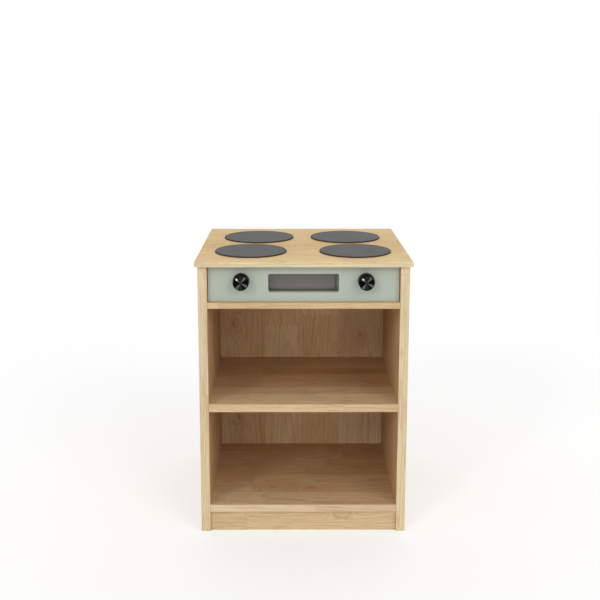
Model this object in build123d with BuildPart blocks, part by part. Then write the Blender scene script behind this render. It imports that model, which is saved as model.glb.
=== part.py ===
from build123d import *
import os

# Wooden toy cooker: an open two-shelf oven under a painted control panel with two turning knobs.
# Millimetres. X runs left to right, Y from the front to the back and Z up.
# The origin is on the floor, in the middle of the cooker's outline, knobs included.

os.makedirs("parts", exist_ok=True)

# ---- overall sizes
worktop_height = 550.0  # floor to the worktop's surface
cabinet_width = 406.0
cabinet_depth = 394.0
worktop_width = 417.0
worktop_overhang = 6.0  # in front of the side panels

# ---- thickness of each board
side_board = 18.0
worktop_board = 10.0
shelf_board = 16.0
ceiling_board = 12.0
plinth_board = 15.0
back_board = 12.0
rail_board = 16.0
panel_board = 15.0
board_round = 1.5  # eased long edges
panel_round = 0.8  # eased edges of the painted panel

# ---- heights above the floor
ceiling_underside = 457.0
middle_shelf_top = 265.0
bottom_shelf_top = 56.0
back_panel_bottom = 18.0
rail_height = 50.0
knob_height = 510.0
window_middle = 505.5

# ---- depths behind the side panels' front edges
compartment_depth = 315.0
plinth_setback = 5.0
panel_setback = 10.0

# ---- control panel, the display behind its window, and the corner blocks that hold it
panel_side_gap = 0.8
window_width = 136.0
window_height = 36.0
window_corner = 4.0
spacer_board = 8.0
spacer_border = 12.0
spacer_clear = 1.0  # the spacer's opening stands back from the window's edge
display_sheet = 4.0
block_side = 18.0
block_height = 56.0

# ---- knobs, spindles and bushes
knob_spread = 240.0  # from axis to axis
knob_reach = 22.0  # from the panel's face to the knob's face
knob_foot_radius = 15.8
knob_crown_radius = 15.2  # where the shoulder starts
knob_shoulder = 3.4
knob_foot_arris = 0.6
knob_dish_radius = 11.0
knob_dish = 0.5
knob_panel_gap = 0.8
spindle_radius = 3.0
spindle_flat = 2.2  # from the axis to the flat that drives the knob
spindle_grip = 15.0  # length held in the knob
spindle_tail = 12.0  # length past the panel's back
spindle_end_chamfer = 0.6
running_gap = 0.05  # between spindle and bush
end_float = 0.2  # play along the spindle
bush_radius = 5.0
bush_flange_radius = 9.0
bush_flange = 1.2
flange_clearance = 0.8  # round the flange, in the knob's foot
washer_radius = 9.0
washer_thickness = 1.2
nut_flats = 10.0
nut_corners = 6
nut_thickness = 6.0

# ---- hotplates
hotplate_thickness = 6.0
hotplate_proud = 2.7
hotplate_arris = 0.6
front_hotplate_radius = 72.0
rear_hotplate_radius = 75.4
front_hotplate_spread = 210.0  # from centre to centre
rear_hotplate_spread = 188.0
front_hotplate_depth = 106.0  # centre, behind the side panels' front edges
rear_hotplate_depth = 273.0

# ---- dowels
shelf_dowel_radius = 4.0
shelf_dowel_length = 32.0
small_dowel_radius = 3.0
ceiling_dowel_length = 28.0
worktop_dowel_length = 20.0
dowel_in_side = 12.0
dowel_in_worktop = 6.0
dowel_inset = 40.0  # from a board's front and back edges
plinth_dowel_height = 20.0

# ---- screws, and the grooves for the back panel
groove_depth = 6.0
screw_radius = 1.75
screw_head_radius = 3.6
screw_angle = 90
screw_point = 2.0
back_screw_length = 32.0
back_screw_spread = 200.0  # along each shelf
block_screw_length = 28.0
block_screw_stagger = 14.0  # a block's two screws pass above and below its middle
display_screw_length = 22.0

# ---- places that follow from the sizes above
half_inner = cabinet_width / 2 - side_board
inner_width = 2 * half_inner
side_middle = half_inner + side_board / 2
cabinet_front = (knob_reach - panel_setback - cabinet_depth) / 2
cabinet_back = cabinet_front + cabinet_depth
cabinet_middle = (cabinet_front + cabinet_back) / 2
worktop_underside = worktop_height - worktop_board
worktop_front = cabinet_front - worktop_overhang
back_panel_front = cabinet_front + compartment_depth
back_panel_rear = back_panel_front + back_board
back_panel_middle = back_panel_front + back_board / 2
shelf_middle = (cabinet_front + back_panel_front) / 2
plinth_middle = cabinet_front + plinth_setback + plinth_board / 2
rail_middle = cabinet_back - rail_board / 2
panel_front = cabinet_front + panel_setback
panel_rear = panel_front + panel_board
display_front = panel_rear + spacer_board
display_rear = display_front + display_sheet
ceiling_top = ceiling_underside + ceiling_board
panel_height = worktop_underside - ceiling_top
panel_middle = ceiling_top + panel_height / 2
block_rear = panel_rear + block_side
block_middle = panel_rear + block_side / 2
hotplate_seat = worktop_height + hotplate_proud - hotplate_thickness
spacer_width = window_width + 2 * spacer_border
spacer_height = window_height + 2 * spacer_border
flange_front = panel_front - bush_flange
knob_back = panel_front - knob_panel_gap
knob_bearing = flange_front - end_float  # the face in the knob's foot that runs on the flange
rear_washer_front = panel_rear + end_float
nut_front = rear_washer_front + washer_thickness

# ---- directions
leftward, rightward = (-1, 0, 0), (1, 0, 0)
forward, backward = (0, -1, 0), (0, 1, 0)
downward = (0, 0, -1)
sides = {"left": -1, "right": 1}
outward = {"left": leftward, "right": rightward}
inward = {"left": rightward, "right": leftward}

# ---- spots where two pieces meet, drilled alike in both: (y, z) on a side panel's inner face
shelf_heights = {
    "middle_shelf": middle_shelf_top - shelf_board / 2,
    "bottom_shelf": bottom_shelf_top - shelf_board / 2,
}
dowel_rows = (cabinet_front + dowel_inset, back_panel_front - dowel_inset)
shelf_spots = {name: [(y, height) for y in dowel_rows] for name, height in shelf_heights.items()}
ceiling_spots = [(y, ceiling_underside + ceiling_board / 2) for y in dowel_rows]
plinth_spot = (plinth_middle, plinth_dowel_height)
rail_spot = (rail_middle, worktop_underside - rail_height / 2)
large_dowel_spots = shelf_spots["middle_shelf"] + shelf_spots["bottom_shelf"] + [plinth_spot, rail_spot]
block_screw_spots = [(block_middle, panel_middle + block_screw_stagger)]

# ---- the same for the worktop's dowels, and for the middle of each screw's head
worktop_dowel_rows = (cabinet_front + dowel_inset, cabinet_back - dowel_inset)
back_screw_heads = [
    (side * back_screw_spread / 2, back_panel_rear, height)
    for height in shelf_heights.values()
    for side in sides.values()
]
block_columns = [side * (half_inner - block_side / 2) for side in sides.values()]
panel_screw_heads = [(x, block_rear, panel_middle - block_screw_stagger) for x in block_columns]
display_screw_heads = [
    (
        across * (spacer_width - spacer_border) / 2,
        display_rear,
        window_middle + up * (spacer_height - spacer_border) / 2,
    )
    for across in (-1, 1)
    for up in (-1, 1)
]
hotplates = {
    "front_left": (-front_hotplate_spread / 2, cabinet_front + front_hotplate_depth, front_hotplate_radius),
    "front_right": (front_hotplate_spread / 2, cabinet_front + front_hotplate_depth, front_hotplate_radius),
    "rear_left": (-rear_hotplate_spread / 2, cabinet_front + rear_hotplate_depth, rear_hotplate_radius),
    "rear_right": (rear_hotplate_spread / 2, cabinet_front + rear_hotplate_depth, rear_hotplate_radius),
}
knob_columns = {name: side * knob_spread / 2 for name, side in sides.items()}


def save(piece, name):
    """Label a finished piece and write it to its own file."""
    piece.part.label = name
    export_step(piece.part, f"parts/{name}.step")


def facing(direction, points):
    """One plane at each point, with its normal along direction."""
    return [Plane(origin=point, z_dir=direction) for point in points]


def moved_to(points, **change):
    """The same points with their x, y or z changed, as where a screw enters the next piece."""
    return [(change.get("x", x), change.get("y", y), change.get("z", z)) for x, y, z in points]


def beside(name, spots, depth=0):
    """Points at (y, z) spots, that deep in the side panel of that name, behind its inner face."""
    return [(sides[name] * (half_inner + depth), y, z) for y, z in spots]


def drill_board_ends(spots, radius, length):
    """Bore both ends of the board that is being built for its dowels."""
    for name in sides:
        with Locations(*facing(outward[name], beside(name, spots))):
            Hole(radius=radius, depth=length - dowel_in_side)


# ---- templates for the fasteners: the top face is at the local origin, the length runs down -Z
def dowel(radius, length):
    """A round dowel."""
    with BuildPart() as pin:
        Cylinder(radius, length, align=(Align.CENTER, Align.CENTER, Align.MAX))
    return pin.part


def countersunk_screw(length):
    """A countersunk wood screw with a pointed end."""
    with BuildPart() as screw:
        with BuildSketch(Plane.XZ):
            with BuildLine():
                Polyline(
                    (0, 0),
                    (screw_head_radius, 0),
                    (screw_radius, screw_radius - screw_head_radius),
                    (screw_radius, screw_point - length),
                    (0, -length),
                    close=True,
                )
            make_face()
        revolve(axis=Axis.Z)
    return screw.part


shelf_dowel = dowel(shelf_dowel_radius, shelf_dowel_length)
ceiling_dowel = dowel(small_dowel_radius, ceiling_dowel_length)
worktop_dowel = dowel(small_dowel_radius, worktop_dowel_length)
back_screw = countersunk_screw(back_screw_length)
block_screw = countersunk_screw(block_screw_length)
display_screw = countersunk_screw(display_screw_length)

# ---- side panels: full-height boards, grooved for the back panel
for name, side in sides.items():
    with BuildPart() as side_panel:
        with BuildSketch(Plane.XY):
            with Locations((side * side_middle, cabinet_middle)):
                Rectangle(side_board, cabinet_depth)
        extrude(amount=worktop_underside)
        fillet(side_panel.edges().filter_by(Axis.Z), radius=board_round)
        with BuildSketch(Plane.XY.offset(back_panel_bottom)):
            with Locations((side * half_inner, back_panel_middle)):
                Rectangle(2 * groove_depth, back_board)
        extrude(amount=worktop_underside - back_panel_bottom, mode=Mode.SUBTRACT)
        with Locations(*facing(inward[name], beside(name, large_dowel_spots))):
            Hole(radius=shelf_dowel_radius, depth=dowel_in_side)
        with Locations(*facing(inward[name], beside(name, ceiling_spots))):
            Hole(radius=small_dowel_radius, depth=dowel_in_side)
        with Locations(*facing(inward[name], beside(name, block_screw_spots))):
            Hole(radius=screw_radius, depth=block_screw_length - block_side)
        with Locations(*[(side * side_middle, y, worktop_underside) for y in worktop_dowel_rows]):
            Hole(radius=small_dowel_radius, depth=worktop_dowel_length - dowel_in_worktop)
    save(side_panel, f"side_panel_{name}")

# ---- worktop: four round seats on top and dowel bores underneath
with BuildPart() as worktop:
    with BuildSketch(Plane.XY.offset(worktop_underside)):
        with Locations((0, (worktop_front + cabinet_back) / 2)):
            Rectangle(worktop_width, cabinet_back - worktop_front)
    extrude(amount=worktop_board)
    fillet(worktop.edges().filter_by(Axis.Z), radius=board_round)
    fillet(worktop.faces().sort_by(Axis.Z)[-1].edges(), radius=board_round)
    with BuildSketch(Plane.XY.offset(hotplate_seat)):
        for x, y, radius in hotplates.values():
            with Locations((x, y)):
                Circle(radius)
    extrude(amount=worktop_height - hotplate_seat, mode=Mode.SUBTRACT)
    for side in sides.values():
        dowel_mouths = [(side * side_middle, y, worktop_underside) for y in worktop_dowel_rows]
        with Locations(*facing(downward, dowel_mouths)):
            Hole(radius=small_dowel_radius, depth=dowel_in_worktop)
save(worktop, "worktop")

# ---- the two oven shelves, dowelled at the ends and screwed through the back panel
for name, height in shelf_heights.items():
    with BuildPart() as shelf:
        with BuildSketch(Plane.XY.offset(height - shelf_board / 2)):
            with Locations((0, shelf_middle)):
                Rectangle(inner_width, compartment_depth)
        extrude(amount=shelf_board)
        fillet(shelf.edges().filter_by(Axis.X).group_by(Axis.Y)[0], radius=board_round)
        drill_board_ends(shelf_spots[name], shelf_dowel_radius, shelf_dowel_length)
        screws_here = [head for head in back_screw_heads if head[2] == height]
        with Locations(*facing(backward, moved_to(screws_here, y=back_panel_front))):
            Hole(radius=screw_radius, depth=back_screw_length - back_board)
    save(shelf, name)

# ---- compartment ceiling: closes the control box from below
with BuildPart() as ceiling:
    with BuildSketch(Plane.XY.offset(ceiling_underside)):
        with Locations((0, shelf_middle)):
            Rectangle(inner_width, compartment_depth)
    extrude(amount=ceiling_board)
    fillet(ceiling.edges().filter_by(Axis.X).group_by(Axis.Y)[0], radius=board_round)
    drill_board_ends(ceiling_spots, small_dowel_radius, ceiling_dowel_length)
save(ceiling, "compartment_ceiling")

# ---- plinth: set back under the bottom shelf
with BuildPart() as plinth:
    with BuildSketch(Plane.XY):
        with Locations((0, plinth_middle)):
            Rectangle(inner_width, plinth_board)
    extrude(amount=bottom_shelf_top - shelf_board)
    drill_board_ends([plinth_spot], shelf_dowel_radius, shelf_dowel_length)
save(plinth, "plinth")

# ---- back rail: ties the side panels together under the worktop's back edge
with BuildPart() as back_rail:
    with BuildSketch(Plane.XY.offset(worktop_underside - rail_height)):
        with Locations((0, rail_middle)):
            Rectangle(inner_width, rail_board)
    extrude(amount=rail_height)
    fillet(back_rail.edges().filter_by(Axis.X).group_by(Axis.Z)[0], radius=board_round)
    drill_board_ends([rail_spot], shelf_dowel_radius, shelf_dowel_length)
save(back_rail, "back_rail")

# ---- back panel: its edges run in the side panels' grooves
with BuildPart() as back_panel:
    with BuildSketch(Plane.XY.offset(back_panel_bottom)):
        with Locations((0, back_panel_middle)):
            Rectangle(inner_width + 2 * groove_depth, back_board)
    extrude(amount=worktop_underside - back_panel_bottom)
    with Locations(*facing(backward, back_screw_heads)):
        CounterSinkHole(screw_radius, screw_head_radius, back_board, screw_angle)
save(back_panel, "back_panel")

with BuildPart() as back_panel_screws:
    with Locations(*facing(backward, back_screw_heads)):
        add(back_screw)
save(back_panel_screws, "back_panel_screws")

# ---- control panel: rounded window, bored for two bushes, screwed from behind
window_plane = Plane(origin=(0, panel_front, window_middle), x_dir=rightward, z_dir=forward)
with BuildPart() as control_panel:
    with BuildSketch(Plane.XY.offset(ceiling_top)):
        with Locations((0, panel_front + panel_board / 2)):
            Rectangle(inner_width - 2 * panel_side_gap, panel_board)
    extrude(amount=panel_height)
    with BuildSketch(window_plane):
        RectangleRounded(window_width, window_height, window_corner)
    extrude(amount=-panel_board, mode=Mode.SUBTRACT)
    fillet(control_panel.faces().sort_by(Axis.Y)[0].edges(), radius=panel_round)
    with Locations(*facing(forward, [(x, panel_front, knob_height) for x in knob_columns.values()])):
        Hole(radius=bush_radius, depth=panel_board)
    with Locations(*facing(backward, moved_to(display_screw_heads, y=panel_rear))):
        Hole(radius=screw_radius, depth=display_screw_length - display_sheet - spacer_board)
    with Locations(*facing(backward, moved_to(panel_screw_heads, y=panel_rear))):
        Hole(radius=screw_radius, depth=block_screw_length - block_side)
save(control_panel, "control_panel")

# ---- corner blocks behind the control panel, and the screws that pull both boards onto them
with BuildPart() as panel_blocks:
    with Locations(*[(x, block_middle, panel_middle) for x in block_columns]):
        Box(block_side, block_side, block_height)
    for name in sides:
        with Locations(*facing(inward[name], beside(name, block_screw_spots, depth=-block_side))):
            CounterSinkHole(screw_radius, screw_head_radius, block_side, screw_angle)
    with Locations(*facing(backward, panel_screw_heads)):
        CounterSinkHole(screw_radius, screw_head_radius, block_side, screw_angle)
save(panel_blocks, "panel_blocks")

with BuildPart() as block_screws:
    for name in sides:
        with Locations(*facing(inward[name], beside(name, block_screw_spots, depth=-block_side))):
            add(block_screw)
    with Locations(*facing(backward, panel_screw_heads)):
        add(block_screw)
save(block_screws, "panel_block_screws")

# ---- spacer frame that holds the display back from the window
spacer_plane = window_plane.offset(-panel_board)
with BuildPart() as display_spacer:
    with BuildSketch(spacer_plane):
        Rectangle(spacer_width, spacer_height)
        RectangleRounded(
            window_width + 2 * spacer_clear,
            window_height + 2 * spacer_clear,
            window_corner + spacer_clear,
            mode=Mode.SUBTRACT,
        )
    extrude(amount=-spacer_board)
    with Locations(*facing(backward, moved_to(display_screw_heads, y=display_front))):
        Hole(radius=screw_radius, depth=spacer_board)
save(display_spacer, "display_spacer")

# ---- blank display sheet and the screws that hold it with its spacer
with BuildPart() as display:
    with BuildSketch(spacer_plane.offset(-spacer_board)):
        Rectangle(spacer_width, spacer_height)
    extrude(amount=-display_sheet)
    with Locations(*facing(backward, display_screw_heads)):
        CounterSinkHole(screw_radius, screw_head_radius, display_sheet, screw_angle)
save(display, "display_panel")

with BuildPart() as display_screws:
    with Locations(*facing(backward, display_screw_heads)):
        add(display_screw)
save(display_screws, "display_screws")

# ---- hotplates: discs glued into their seats in the worktop
for name, (x, y, radius) in hotplates.items():
    with BuildPart() as hotplate:
        with BuildSketch(Plane.XY.offset(hotplate_seat)):
            with Locations((x, y)):
                Circle(radius)
        extrude(amount=hotplate_thickness)
        chamfer(hotplate.edges().group_by(Axis.Z)[-1], length=hotplate_arris)
    save(hotplate, f"hotplate_{name}")

# ---- dowels
with BuildPart() as shelf_dowels:
    for name in sides:
        with Locations(*facing(outward[name], beside(name, large_dowel_spots, depth=dowel_in_side))):
            add(shelf_dowel)
save(shelf_dowels, "shelf_dowels")

with BuildPart() as ceiling_dowels:
    for name in sides:
        with Locations(*facing(outward[name], beside(name, ceiling_spots, depth=dowel_in_side))):
            add(ceiling_dowel)
save(ceiling_dowels, "ceiling_dowels")

dowel_top = worktop_underside + dowel_in_worktop
with BuildPart() as worktop_dowels:
    for side in sides.values():
        with Locations(*[(side * side_middle, y, dowel_top) for y in worktop_dowel_rows]):
            add(worktop_dowel)
save(worktop_dowels, "worktop_dowels")


# ---- knobs: turned bodies with a bearing face in the foot and a D-shaped bore
def shaft_section():
    """A round shaft section with a driving flat, drawn in the sketch that is open."""
    Circle(spindle_radius)
    with Locations((0, spindle_flat)):
        Rectangle(2 * spindle_radius, spindle_radius, align=(Align.CENTER, Align.MIN), mode=Mode.SUBTRACT)


def across_axis(name, y, direction):
    """A plane square to a knob's axis, with its normal along direction."""
    return Plane(origin=(knob_columns[name], y, knob_height), x_dir=rightward, z_dir=direction)


knob_length = knob_back - (panel_front - knob_reach)
foot_recess = knob_back - knob_bearing
foot_recess_radius = bush_flange_radius + flange_clearance
face_radius = knob_crown_radius - knob_shoulder
shoulder_start = knob_length - knob_shoulder
for name, knob_x in knob_columns.items():
    half_section = Plane(origin=(knob_x, knob_back, knob_height), x_dir=leftward, z_dir=(0, 0, 1))
    with BuildPart() as knob:
        with BuildSketch(half_section):
            with BuildLine():
                Polyline(
                    (0, knob_length - knob_dish),
                    (0, foot_recess),
                    (foot_recess_radius, foot_recess),
                    (foot_recess_radius, 0),
                    (knob_foot_radius - knob_foot_arris, 0),
                    (knob_foot_radius, knob_foot_arris),
                    (knob_crown_radius, shoulder_start),
                )
                RadiusArc((knob_crown_radius, shoulder_start), (face_radius, knob_length), -knob_shoulder)
                Line((face_radius, knob_length), (knob_dish_radius, knob_length))
                TangentArc((0, knob_length - knob_dish), (knob_dish_radius, knob_length), tangent=(1, 0))
            make_face()
        revolve(axis=Axis((knob_x, knob_back, knob_height), forward))
        with BuildSketch(across_axis(name, knob_bearing, forward)):
            shaft_section()
        extrude(amount=spindle_grip, mode=Mode.SUBTRACT)
    save(knob, f"knob_{name}")

    # the steel spindle: round through the bush and the nut, with a D section in the knob
    with BuildPart() as spindle:
        with BuildSketch(across_axis(name, knob_bearing, backward)):
            Circle(spindle_radius)
        extrude(amount=panel_rear + spindle_tail - knob_bearing)
        chamfer(spindle.edges().group_by(Axis.Y)[-1], length=spindle_end_chamfer)
        with BuildSketch(across_axis(name, knob_bearing, forward)):
            shaft_section()
        extrude(amount=spindle_grip)
    save(spindle, f"spindle_{name}")

    with BuildPart() as rear_washer:
        with BuildSketch(across_axis(name, rear_washer_front, backward)):
            Circle(washer_radius)
            Circle(spindle_radius, mode=Mode.SUBTRACT)
        extrude(amount=washer_thickness)
    save(rear_washer, f"rear_washer_{name}")

    with BuildPart() as lock_nut:
        with BuildSketch(across_axis(name, nut_front, backward)):
            RegularPolygon(nut_flats / 2, nut_corners, major_radius=False)
            Circle(spindle_radius, mode=Mode.SUBTRACT)
        extrude(amount=nut_thickness)
    save(lock_nut, f"lock_nut_{name}")

# ---- flanged bushes pressed into the control panel
with BuildPart() as bushes:
    for name in sides:
        with BuildSketch(across_axis(name, flange_front, backward)):
            Circle(bush_flange_radius)
        extrude(amount=bush_flange)
        with BuildSketch(across_axis(name, panel_front, backward)):
            Circle(bush_radius)
        extrude(amount=panel_board)
        with Locations(across_axis(name, flange_front, forward)):
            Hole(radius=spindle_radius + running_gap, depth=bush_flange + panel_board)
save(bushes, "spindle_bushes")
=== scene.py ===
import functools
import math
from collections import namedtuple

import bpy
import numpy as np
from bpy.props import FloatProperty, FloatVectorProperty, IntProperty, PointerProperty
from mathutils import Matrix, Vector


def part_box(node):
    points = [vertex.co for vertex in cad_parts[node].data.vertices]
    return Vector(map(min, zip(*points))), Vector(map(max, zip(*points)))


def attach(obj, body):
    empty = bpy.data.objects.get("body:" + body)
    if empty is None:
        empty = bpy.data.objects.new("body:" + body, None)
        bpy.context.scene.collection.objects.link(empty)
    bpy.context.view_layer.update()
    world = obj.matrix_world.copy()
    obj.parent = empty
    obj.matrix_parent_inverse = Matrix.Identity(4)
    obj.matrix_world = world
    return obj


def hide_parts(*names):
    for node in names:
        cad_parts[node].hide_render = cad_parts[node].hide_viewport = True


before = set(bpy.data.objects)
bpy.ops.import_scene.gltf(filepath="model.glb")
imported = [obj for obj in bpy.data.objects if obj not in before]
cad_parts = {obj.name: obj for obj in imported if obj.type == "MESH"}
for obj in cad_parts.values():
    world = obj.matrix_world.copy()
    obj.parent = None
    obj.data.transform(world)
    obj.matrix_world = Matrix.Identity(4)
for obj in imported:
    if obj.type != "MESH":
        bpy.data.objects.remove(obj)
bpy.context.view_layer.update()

bl_info = {
    "name": "Toy Cooker",
    "version": (1, 0, 0),
    "blender": (4, 5, 0),
    "location": "3D View > Sidebar > Toy Cooker",
    "description": "Finishes a wooden toy cooker: pine boards, painted panel, hotplates and turned knobs",
    "category": "Object",
}

CABINET = "cabinet"
SIDES = ("left", "right")
HOTPLATES = ("front_left", "front_right", "rear_left", "rear_right")
FORWARD = np.array((0.0, -1.0, 0.0))
BACKWARD = np.array((0.0, 1.0, 0.0))
UPWARD = np.array((0.0, 0.0, 1.0))

# ---- how each board is glued up from staves, and each stave from blocks
# tones, which multiply the wood's colour. The _SHADE ones also darken staves at the oven's back as painted
# shade
PALE = (1.03, 1.04, 1.06)
PLAIN = (1.0, 1.0, 1.0)
STRAW = (0.99, 0.97, 0.88)
CREAM = (1.09, 1.16, 1.19)
BISCUIT = (1.13, 1.08, 0.99)
ASH = (0.98, 1.00, 1.04)
GREY = (0.92, 0.94, 0.97)
ROSE = (0.95, 0.88, 0.86)
HONEY = (0.97, 0.93, 0.73)
PEACH = (1.05, 0.96, 0.83)
TAN = (0.93, 0.86, 0.74)
AMBER = (0.90, 0.84, 0.52)
RUSSET = (0.96, 0.85, 0.74)
OAK = (0.87, 0.80, 0.74)
CHESTNUT_SHADE = (0.81, 0.73, 0.68)
UMBER_SHADE = (0.80, 0.69, 0.60)
WALNUT_SHADE = (0.71, 0.58, 0.49)


def stepped(seed, count):
    """Joints for that many staves, spread so that no two neighbours meet in line."""
    return tuple((seed * 0.37 + number * 0.618) % 1 for number in range(count))


# axes: those of the grain, of the row of staves and of the thickness
# first_seam: how far the first seam is from the row's low edge, in metres
# seed: the board's own number, which picks its chance numbers
# tints, others: each stave's tones, which its blocks take by turns. No others means the tints again
# joints: how far along a block each stave starts, as a share of a block. None given means stepped ones
# knots: each one's place along the grain and across it, in metres
# inside: the sides that look into the oven, which the inside tone darkens as painted shade
# broad, narrow: tones for the whole of the broad faces, and of the narrow ones
Board = namedtuple(
    "Board",
    "node axes first_seam seed tints others joints knots inside broad narrow",
    defaults=((), (), (), (), PLAIN, PLAIN),
)
BOARDS = (
    Board(
        node="worktop", axes="XYZ", first_seam=0.030, seed=3.0,
        tints=(PALE, STRAW, STRAW, TAN, AMBER, TAN, STRAW, TAN, HONEY, STRAW, PALE),
        broad=(0.915, 0.91, 0.76),
        narrow=(0.99, 1.03, 1.03),
    ),
    Board(
        node="side_panel_left", axes="ZYX", first_seam=0.036, seed=11.0,
        # staves 6 and 7 are stave tone and partly painted shade towards the oven's back
        tints=(PALE, PLAIN, STRAW, GREY, GREY, ROSE, ROSE, OAK, PLAIN, STRAW),
        others=(PLAIN, STRAW, PLAIN, GREY, GREY, ROSE, OAK, OAK, STRAW, PLAIN),
        knots=((0.352, -0.048), (0.118, 0.075), (0.462, 0.118)),
        inside=("+X",),
        narrow=(0.95, 0.98, 0.97),
    ),
    Board(
        node="side_panel_right", axes="ZYX", first_seam=0.036, seed=17.0,
        # staves 5 to 7 are stave tone and partly painted shade towards the oven's back
        tints=(PALE, PALE, GREY, GREY, STRAW, OAK, CHESTNUT_SHADE, CHESTNUT_SHADE, STRAW, PLAIN),
        others=(PALE, PALE, PALE, STRAW, GREY, ROSE, CHESTNUT_SHADE, CHESTNUT_SHADE, TAN, STRAW),
        knots=((0.408, 0.031), (0.163, -0.092), (0.232, 0.160)),
        inside=("-X",),
        narrow=(0.98, 1.05, 1.06),
    ),
    Board(
        node="compartment_ceiling", axes="XYZ", first_seam=0.040, seed=23.0,
        tints=(TAN, STRAW, TAN, PLAIN, GREY, PLAIN, STRAW, PLAIN),
        knots=((0.092, 0.024),),
        inside=("-Z",),
        narrow=(0.96, 0.95, 0.94),
    ),
    Board(
        node="middle_shelf", axes="XYZ", first_seam=0.021, seed=29.0,
        # pale front staves and dark rear ones: stave tone, with painted light at the oven's mouth and
        # painted shade at its back
        tints=(CREAM, CREAM, GREY, OAK, UMBER_SHADE, WALNUT_SHADE, OAK, OAK, OAK),
        others=(CREAM, CREAM, GREY, OAK, OAK, UMBER_SHADE, OAK, OAK, OAK),
        joints=(*stepped(29.0, 5), 0.252, *stepped(29.0, 9)[6:]),
        knots=((0.024, -0.064),),
        inside=("+Z", "-Z"),
        broad=(1.04, 1.10, 1.22),
        narrow=(0.81, 0.74, 0.70),
    ),
    Board(
        node="bottom_shelf", axes="XYZ", first_seam=0.016, seed=31.0,
        # the darker rear staves are stave tone and partly painted shade at the oven's back
        tints=(PALE, PLAIN, ROSE, STRAW, OAK, ROSE, ROSE, OAK, OAK),
        others=(ROSE, CREAM, PALE, TAN, OAK, OAK, UMBER_SHADE, UMBER_SHADE, UMBER_SHADE),
        joints=(0.907, 0.226, 0.323, 0.324, 0.942, 0.806, 0.694, 0.796, 0.414),
        knots=((-0.062, -0.111), (0.018, -0.113)),
        inside=("+Z",),
        broad=(1.04, 1.10, 1.23),
        narrow=(0.93, 0.955, 0.97),
    ),
    Board(
        node="plinth", axes="XZY", first_seam=0.041, seed=37.0,
        tints=(GREY,),
        joints=(0.35,),
        knots=((0.076, 0.042),),
        broad=(0.955, 0.972, 0.99),
    ),
    Board(
        node="back_rail", axes="XZY", first_seam=0.025, seed=41.0,
        tints=(PLAIN, STRAW),
        others=(STRAW, PLAIN),
        joints=(0.2, 0.7),
    ),
    Board(
        node="back_panel", axes="ZXY", first_seam=0.023, seed=43.0,
        tints=(OAK, OAK, OAK, RUSSET, PEACH, BISCUIT, BISCUIT, ASH, ASH, ASH),
        others=(OAK, OAK, OAK, PALE, PALE, RUSSET, RUSSET, OAK, OAK, OAK),
        joints=(0.30, 0.62, 0.15, 0.882, 0.882, 0.819, 0.819, 0.171, 0.171, 0.171),
        knots=((0.344, -0.154), (0.318, 0.133), (0.120, -0.144)),
        broad=(1.04, 1.13, 1.30),
    ),
    Board(
        node="panel_blocks", axes="ZXY", first_seam=0.040, seed=47.0,
        tints=(PLAIN,) * 9,
        joints=(0.5,) * 9,
    ),
)


# ---- settings
def linear(*shades):
    """Display shades from 0 to 255 as the linear values that Blender keeps."""
    shares = (shade / 255 for shade in shades)
    return tuple(s / 12.92 if s <= 0.04045 else ((s + 0.055) / 1.055) ** 2.4 for s in shares)


def size(name, description, default):
    """A length in metres."""
    return FloatProperty(
        name=name, description=description, default=default, min=0.0, precision=5, unit="LENGTH"
    )


def share(name, description, default):
    """A number from 0 to 1."""
    return FloatProperty(
        name=name, description=description, default=default, min=0.0, max=1.0, subtype="FACTOR"
    )


def facets(name, description, default):
    """A number of facets or rings."""
    return IntProperty(name=name, description=description, default=default, min=3)


def colour(name, description, *shades):
    """A colour, given in display shades from 0 to 255."""
    return FloatVectorProperty(
        name=name, description=description, default=linear(*shades), min=0.0, max=1.0, subtype="COLOR"
    )


class PineSettings(bpy.types.PropertyGroup):
    """The lacquered pine of the boards"""

    early: colour("Early wood", "Pale wood between the rings", 229, 209, 172)
    late: colour("Late wood", "Darker wood that ends each ring", 194, 150, 104)
    streak: colour("Streaks", "Rosy streaks that run along the grain", 206, 164, 124)
    dash: colour("Dashes", "Short soft dashes along the grain", 202, 158, 120)
    resin: colour("Resin", "Short dark lines of resin along the grain", 150, 104, 66)
    face: colour("Face tone", "Multiplies the wood on broad faces, deeper than edges", 250, 241, 226)
    # painted shade: this tone darkens the wood on the faces that look into the oven
    inside: colour("Inside tone", "Multiplies the wood inside the oven, oiled a shade deeper", 230, 222, 219)
    end: colour("End tone", "Multiplies the wood where it is cut across the grain", 238, 226, 208)
    knot: colour("Knots", "Middle of a knot", 120, 74, 44)
    core: size("Knot core", "Radius of a knot's dark core", 0.0008)
    core_edge: size("Knot core's edge", "Radius at which that dark fades out", 0.0046)
    stave: size("Stave width", "Width of the strips that are glued up", 0.042)
    block: size("Block length", "Length of a strip between two finger joints", 0.31)
    finger: size("Finger length", "Length of the teeth in a finger joint", 0.010)
    pitch: size("Finger pitch", "Distance between the teeth of a finger joint", 0.0084)
    ring: size("Ring spacing", "Distance between growth rings", 0.0052)
    heart: size("Heart", "Least depth of a log's heart under the board's middle", 0.006)
    heart_range: size("Heart's range", "How much deeper than that it may lie", 0.060)
    lean: share("Lean", "Range of the slopes at which hearts lean along the grain", 0.16)
    waver: size("Waver", "How far a heart wavers along the grain", 0.022)
    swirl: size("Swirl", "Distance at which the grain begins to bend round a knot", 0.024)
    bulge: size("Bulge", "How far a knot pushes the rings aside", 0.018)
    seam: size("Glue line", "Width of the glue line between strips", 0.00035)
    joint: size("Joint line", "Width of the dark line along a finger joint", 0.0015)
    contrast: share("Ring contrast", "How strongly the late wood shows", 0.62)
    gloss: share("Roughness", "Roughness of the lacquer", 0.5)


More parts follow.
